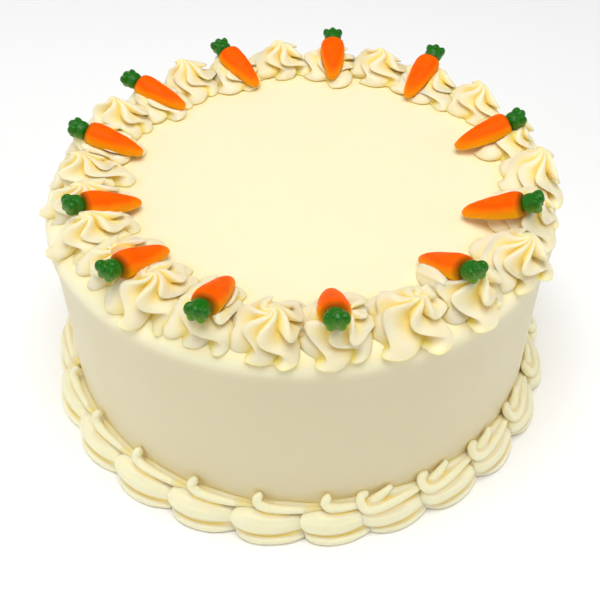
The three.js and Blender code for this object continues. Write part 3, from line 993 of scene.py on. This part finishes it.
def candy_carrot(name, place, number):
    """One carrot in place, with bumps of its own."""
    alone(carrot_blank)
    bpy.ops.object.duplicate()
    carrot = bpy.context.object
    carrot.name = name.replace("carrot", "candy_carrot")
    modified(carrot, "SUBSURF", levels=2, render_levels=2)
    places = points_of(carrot)
    along = places[:, 0] / CARROT_LENGTH + 1
    top = places[:, 2] / (CARROT_THICKNESS / 2)
    paint(carrot, "along", along)
    # how high on the carrot: its sides get painted light that shines through the thin sugar
    paint(carrot, "top", top)
    middle = np.array([-CARROT_LENGTH / 2, 0, 0])
    away = places - middle
    away[:, 0] *= BUMP_LENGTHWISE
    away /= np.linalg.norm(away, axis=1)[:, None]
    bumps = soft_noise(places, BUMP_SCALE, 31 * number)
    bumps = bumps + 0.5 * soft_noise(places, GRAIN_SCALE, 17 * number)
    places += away * (CARROT_BUMP * bumps)[:, None]
    turn = np.array(place)
    reshape(carrot, places @ turn[:3, :3].T + turn[:3, 3])
    bpy.ops.object.shade_smooth()
    return finished(carrot, "carrot_candy", name)


carrots = [candy_carrot(*pair, n) for n, pair in enumerate(zip(carrot_names, candy_frames))]
bpy.data.objects.remove(carrot_blank)
print("carrots:", len(carrots))

# %% [markdown]
# ## The candy leaves
#
# The leaf is moulded with the carrot: a short stub that splits into a few round lobes. Six
# stretched spheres, one for the stub and five for the lobes, are joined, and a remesh melts
# them into one lump.

# %% The leaf's blank
# out from the shoulder, sideways and up, in mm, then the lobe's three half sizes and its turns
LEAF_LOBES = (
    ((2.6, 0, -0.1), (3.8, 4.1, 3.7), 0, 0),
    ((6.0, 0.2, 0.8), (2.4, 1.8, 2.5), 3, -8),
    ((5.3, 2.9, 0.6), (2.4, 1.7, 2.4), 30, -6),
    ((5.2, -2.7, 0.5), (2.4, 1.7, 2.5), -28, -4),
    ((4.8, 1.6, -1.9), (2.4, 1.8, 1.8), 14, 14),
    ((4.7, -1.6, -2.0), (2.4, 1.8, 1.8), -16, 14),
)
LEAF_VOXEL = 0.45 * MM

lobes = []
for centre, sizes, sideways, upward in LEAF_LOBES:
    bpy.ops.object.select_all(action="DESELECT")
    bpy.ops.mesh.primitive_uv_sphere_add(
        segments=24,
        ring_count=16,
        radius=1,
        location=[x * MM for x in centre],
        scale=[x * MM for x in sizes],
        rotation=(0, radians(upward), radians(sideways)),
    )
    bpy.ops.object.transform_apply()
    lobes.append(bpy.context.object)
bpy.ops.object.select_all(action="DESELECT")
for lobe in lobes:
    lobe.select_set(True)
bpy.context.view_layer.objects.active = lobes[0]
bpy.ops.object.join()
leaf_blank = bpy.context.object
leaf_blank.name = "leaf_blank"
modified(leaf_blank, "REMESH", mode="VOXEL", voxel_size=LEAF_VOXEL)
modified(leaf_blank, "SMOOTH", factor=0.5, iterations=4)
print("leaf blank:", len(leaf_blank.data.polygons), "faces")


# %% Copy the leaves to their places
LEAF_HALF_HEIGHT = 3 * MM
LEAF_BUMP = 0.05
LEAF_BUMP_SCALE = 260


def candy_leaf(name, place, number):
    """One leaf in place, with lobes a little unlike the others'."""
    alone(leaf_blank)
    bpy.ops.object.duplicate()
    leaf = bpy.context.object
    leaf.name = name.replace("carrot", "candy")
    places = points_of(leaf)
    # how high on the leaf: its underside gets painted light that shines through it
    paint(leaf, "top", places[:, 2] / LEAF_HALF_HEIGHT)
    bumps = soft_noise(places, LEAF_BUMP_SCALE, 13 * number)
    places *= 1 + LEAF_BUMP * bumps[:, None]
    turn = np.array(place)
    reshape(leaf, places @ turn[:3, :3].T + turn[:3, 3])
    bpy.ops.object.shade_smooth()
    return finished(leaf, "leaf_candy", name)


leaves = [candy_leaf(*pair, n) for n, pair in enumerate(zip(leaf_names, candy_frames))]
bpy.data.objects.remove(leaf_blank)
print("leaves:", len(leaves))

# %% [markdown]
# ## Finishes
#
# A finish is a shader whose colour, roughness and bump change over the surface. Two small
# classes keep the node graphs readable: `Wire` is one output of a node, which can be
# multiplied with the usual sign, and `Finish` adds nodes to one material.


# %% Shader arithmetic
class Wire:
    """A number that comes out of a node. Multiplying it adds a Math node."""

    def __init__(self, finish, socket):
        self.finish = finish
        self.socket = socket

    def __mul__(self, other):
        settings = {"operation": "MULTIPLY"}
        return self.finish.add("ShaderNodeMath", settings, {0: self, 1: other})

    __rmul__ = __mul__


class Finish:
    """A material with one Principled shader."""

    def __init__(self, name, **constants):
        self.material = bpy.data.materials.new(name)
        self.material.use_nodes = True
        self.tree = self.material.node_tree
        self.shader = self.tree.nodes["Principled BSDF"]
        for socket, value in constants.items():
            self.shader.inputs[socket.replace("_", " ")].default_value = value

    def feed(self, socket, value):
        """Links a wire to a socket, or sets a plain value on it."""
        if isinstance(value, Wire):
            self.tree.links.new(value.socket, socket)
        else:
            socket.default_value = value

    def add(self, kind, settings=None, inputs=None, output=0):
        """Adds a node: its settings first, then the values or links of its sockets."""
        node = self.tree.nodes.new(kind)
        for setting, value in (settings or {}).items():
            setattr(node, setting, value)
        for socket, value in (inputs or {}).items():
            self.feed(node.inputs[socket], value)
        return Wire(self, node.outputs[output])

    def place(self):
        """Where on the object a point lies, in metres."""
        return self.add("ShaderNodeTexCoord", output="Object")

    def number(self, name):
        """A number that was kept for each vertex."""
        return self.add("ShaderNodeAttribute", {"attribute_name": name}, output="Fac")

    def noise(self, scale, detail=2.0, where=None):
        """Soft random spots, between 0 and 1, of about 1 / scale metres."""
        inputs = {"Vector": where or self.place(), "Scale": scale, "Detail": detail}
        return self.add("ShaderNodeTexNoise", None, inputs)

    def between(self, value, low, high, new_low=0.0, new_high=1.0):
        """Stretches a range of numbers to another and cuts off the rest."""
        inputs = {0: value, 1: low, 2: high, 3: new_low, 4: new_high}
        return self.add("ShaderNodeMapRange", {"clamp": True}, inputs)

    def mix(self, share, a, b):
        """Colour a where share is 0, colour b where it is 1."""
        return self.add("ShaderNodeMix", {"data_type": "RGBA"}, {0: share, 6: a, 7: b}, output=2)

    def bump(self, height, depth, strength=1.0):
        """Relief from a height between 0 and 1, depth metres deep."""
        inputs = {"Height": height, "Distance": depth, "Strength": strength}
        return self.add("ShaderNodeBump", None, inputs)

    def done(self, **links):
        """Feeds the shader and returns the material."""
        for socket, value in links.items():
            self.feed(self.shader.inputs[socket.replace("_", " ")], value)
        return self.material


# %% [markdown]
# ## Icing
#
# Cream cheese icing is a warm cream with a dull shine, and light soaks into it. The piped
# icing's colour follows its grooves: painted shade turns it yellow deep in a crease and where
# pieces touch, and a painted highlight makes a thin crest paler. The spread icing's colour
# follows the height instead: painted light from above makes it paler near the top, a painted
# highlight lies on its rounded edge, and yellow painted shade lies next to the swirls and shells.

# %% Icing
ICING_WALL = (0.79, 0.705, 0.46, 1)
ICING_WALL_PALE = (0.805, 0.725, 0.49, 1)
# painted light from above: the icing near the top
ICING_PAINTED_LIGHT = (0.95, 0.87, 0.585, 1)
# painted highlight on the rounded top edge
ICING_PAINTED_HIGHLIGHT = (0.98, 0.905, 0.62, 1)
# painted shade: the yellow next to the swirls and shells
ICING_PAINTED_SHADE = (1.0, 0.80, 0.32, 1)
PIPED = (0.87, 0.78, 0.53, 1)
PIPED_PALE = (0.89, 0.81, 0.585, 1)
# painted shade: the yellow deep in creases and where pieces touch
PIPED_PAINTED_SHADE = (1.0, 0.74, 0.11, 1)
# painted highlight: the paler colour of thin crests
PIPED_PAINTED_HIGHLIGHT = (1.0, 0.90, 0.62, 1)


def piped_icing():
    """The icing of the swirls, shells and folds."""
    finish = Finish(
        "piped_icing_finish",
        Subsurface_Weight=0.7,
        Subsurface_Radius=(1.0, 0.9, 0.5),
        Subsurface_Scale=3 * MM,
    )
    shade_and_highlight = finish.number("shade_and_highlight")
    patches = finish.between(finish.noise(70), 0.35, 0.65)
    skin = finish.mix(patches * 0.5, PIPED, PIPED_PALE)
    # painted shade: yellow deep in the creases and where pieces touch
    colour = finish.mix(finish.between(shade_and_highlight, 0.15, 0.95, 0.0, 0.95), skin, PIPED_PAINTED_SHADE)
    # painted highlight: paler on the crests
    colour = finish.mix(finish.between(shade_and_highlight, 0.0, -0.45), colour, PIPED_PAINTED_HIGHLIGHT)
    relief = finish.noise(420, 3)
    fine = finish.bump(relief, 0.12 * MM, 0.5)
    rough = finish.between(finish.noise(150), 0.3, 0.7, 0.42, 0.56)
    return finish.done(Base_Color=colour, Roughness=rough, Normal=fine)


def smooth_icing():
    """The icing spread over the top and the wall."""
    finish = Finish(
        "smooth_icing_finish",
        Subsurface_Weight=0.3,
        Subsurface_Radius=(1.0, 0.8, 0.4),
        Subsurface_Scale=3 * MM,
    )
    patches = finish.between(finish.noise(22, 3), 0.35, 0.65)
    colour = finish.mix(patches * 0.4, ICING_WALL, ICING_WALL_PALE)
    # painted light from above: paler near the top
    colour = finish.mix(finish.number("upper"), colour, ICING_PAINTED_LIGHT)
    # painted highlight on the rounded top edge
    colour = finish.mix(finish.number("edge_highlight"), colour, ICING_PAINTED_HIGHLIGHT)
    # painted shade: yellower next to the swirls and shells
    colour = finish.mix(finish.number("near") * 0.45, colour, ICING_PAINTED_SHADE)
    relief = finish.noise(260, 4)
    fine = finish.bump(relief, 0.08 * MM, 0.4)
    rough = finish.between(finish.noise(60), 0.3, 0.7, 0.38, 0.5)
    return finish.done(Base_Color=colour, Roughness=rough, Normal=fine)


# %% [markdown]
# ## Candy
#
# The carrot is pressed sugar, dull and grainy: red on top with darker blotches and a few dark
# specks, and a lighter orange on its sides, which is painted light that shines through the thin
# sugar. Next to the leaf it is darker, partly its own colour at the join and partly painted
# shade under the leaf. The leaf is glossier, and lighter towards its underside, which is
# painted light that shines through it.

# %% Candy
CARROT_TOP = (1.0, 0.118, 0.0, 1)
CARROT_RED = (0.82, 0.075, 0.0, 1)
# painted light: the lighter orange of the sides, as light shines through the thin sugar
CARROT_PAINTED_GLOW = (1.0, 0.46, 0.008, 1)
CARROT_DARK = (0.20, 0.07, 0.002, 1)
LEAF_DARK = (0.008, 0.14, 0.0, 1)
# painted light: the lighter green of the underside, as light shines through the leaf
LEAF_PAINTED_GLOW = (0.11, 0.28, 0.010, 1)


def carrot_candy():
    """The orange sugar of the carrots."""
    finish = Finish(
        "carrot_candy_finish",
        Specular_IOR_Level=0.04,
        Subsurface_Weight=0.12,
        Subsurface_Radius=(1.0, 0.5, 0.1),
        Subsurface_Scale=2 * MM,
    )
    top = finish.number("top")
    along = finish.number("along")
    # painted light: the sides are lighter orange, as light shines through the thin sugar there
    colour = finish.mix(finish.between(top, -0.25, 0.6), CARROT_PAINTED_GLOW, CARROT_TOP)
    blotches = finish.between(finish.noise(160, 1), 0.5, 0.75, 0.0, 0.7)
    colour = finish.mix(blotches * finish.between(top, 0.2, 0.8), colour, CARROT_RED)
    specks = finish.between(finish.noise(900, 1), 0.70, 0.80, 0.0, 0.3)
    colour = finish.mix(specks, colour, CARROT_DARK)
    # darker next to the leaf: partly the candy's own colour at the join, partly painted shade under the
    # leaf
    colour = finish.mix(finish.between(along, 0.92, 1.0, 0.0, 0.9), colour, CARROT_DARK)
    fine = finish.bump(finish.noise(700, 3), 0.25 * MM, 0.6)
    rough = finish.between(finish.noise(300), 0.3, 0.7, 0.4, 0.6)
    return finish.done(Base_Color=colour, Roughness=rough, Normal=fine)


def leaf_candy():
    """The green sugar of the leaves."""
    finish = Finish("leaf_candy_finish", Specular_IOR_Level=0.3)
    top = finish.number("top")
    # painted light: the leaf is lighter towards its underside, as light shines through it
    colour = finish.mix(finish.between(top, -0.8, 0.5), LEAF_PAINTED_GLOW, LEAF_DARK)
    fine = finish.bump(finish.noise(520, 2), 0.9 * MM, 1.0)
    rough = finish.between(finish.noise(300), 0.3, 0.7, 0.16, 0.4)
    return finish.done(Base_Color=colour, Roughness=rough, Normal=fine)


# %% Put the finishes on
PAINTED_SHADE_REACH = 3.5 * MM


def coat(pieces, material):
    """Gives some pieces one material."""
    for piece in pieces:
        piece.data.materials.clear()
        piece.data.materials.append(material)


# painted shade: how near the swirls and shells are, for the yellow shade next to them
paint(cake, "near", closeness(cake, swirls + shells, PAINTED_SHADE_REACH))
icing = piped_icing()
coat([cake], smooth_icing())
coat(swirls + shells + folds, icing)
coat(carrots, carrot_candy())
coat(leaves, leaf_candy())
print("finishes:", [m.name for m in bpy.data.materials if m.users])

# %% [markdown]
# ## Floor and light
#
# The cake stands on a plain pale floor. Most of the light is soft and comes from above, as in
# a bakery's bright shop. Four weaker lamps round the cake keep its wall and its shadows light.

# %% Floor
FLOOR_SIZE = 8

bpy.ops.object.select_all(action="DESELECT")
bpy.ops.mesh.primitive_plane_add(size=FLOOR_SIZE, location=(0, 0, 0))
floor_plane = bpy.context.object
floor_plane.name = "floor"
floor_finish = Finish("floor", Base_Color=(0.99, 0.99, 0.99, 1), Roughness=0.8)
floor_plane.data.materials.append(floor_finish.material)

# %% Light
WORLD_STRENGTH = 0.2
CAKE_MIDDLE = (0, 0, 0.05)
# each lamp's name, its place and size in metres, and its power in watts
LAMPS = (
    ("top", (0, -0.17, 1.4), 1.0, 15.9),
    ("left", (-1.15, -0.65, 0.5), 0.8, 3.4),
    ("back_left", (-1.1, 0.8, 0.6), 0.8, 2.6),
    ("right", (1.3, -0.3, 0.5), 0.8, 3.4),
    ("front", (0, -0.9, 1.1), 0.8, 0.9),
)

bpy.context.scene.view_settings.view_transform = "Standard"
world = bpy.data.worlds.new("studio")
bpy.context.scene.world = world
world.use_nodes = True
world.node_tree.nodes["Background"].inputs["Color"].default_value = (1, 1, 1, 1)
world.node_tree.nodes["Background"].inputs["Strength"].default_value = WORLD_STRENGTH


def softbox(name, place, size, power):
    """A square lamp that faces the middle of the cake."""
    bpy.ops.object.light_add(type="AREA", location=place)
    lamp = bpy.context.object
    lamp.name = name
    lamp.data.size = size
    lamp.data.energy = power
    away = Vector(place) - Vector(CAKE_MIDDLE)
    lamp.rotation_euler = away.to_track_quat("Z", "Y").to_euler()


for lamp_settings in LAMPS:
    softbox(*lamp_settings)
